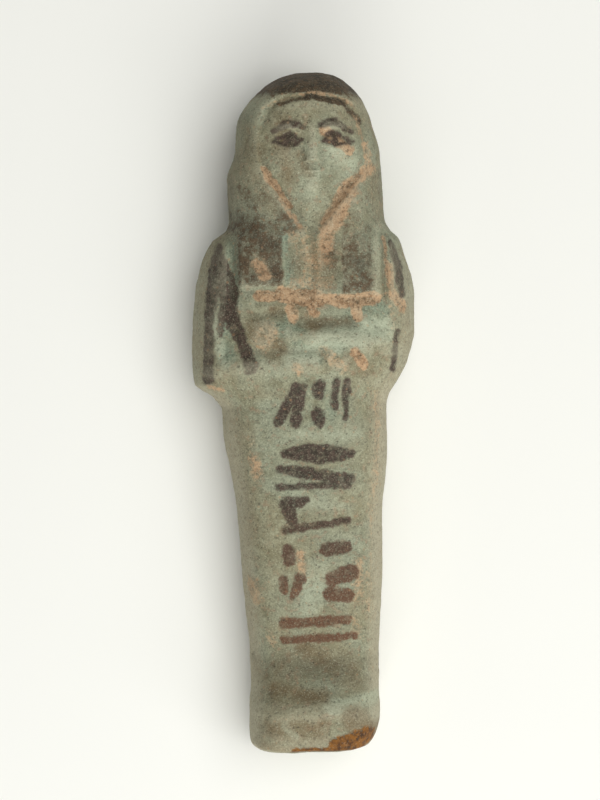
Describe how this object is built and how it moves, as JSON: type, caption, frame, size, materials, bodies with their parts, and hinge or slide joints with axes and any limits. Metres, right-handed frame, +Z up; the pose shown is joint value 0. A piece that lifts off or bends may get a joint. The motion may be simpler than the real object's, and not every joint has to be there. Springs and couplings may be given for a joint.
{
  "type": "ushabti figurine",
  "caption": "Small mummy-shaped faience servant figure with a long wig, crossed arms, painted details and a flat back, lying down.",
  "frame": {"origin": "on the surface that the figure lies on, below the middle of its bounding box", "axes": "+Z up out of the figure's front, +Y towards the crown of the head, +X towards the figure's own left side"},
  "size_m": [0.0326, 0.1, 0.0224],
  "materials": {
    "faience": "worn matt pale green glaze with dark brown painted details"
  },
  "bodies": {
    "root": {"figurine": "faience"}
  },
  "joints": []
}
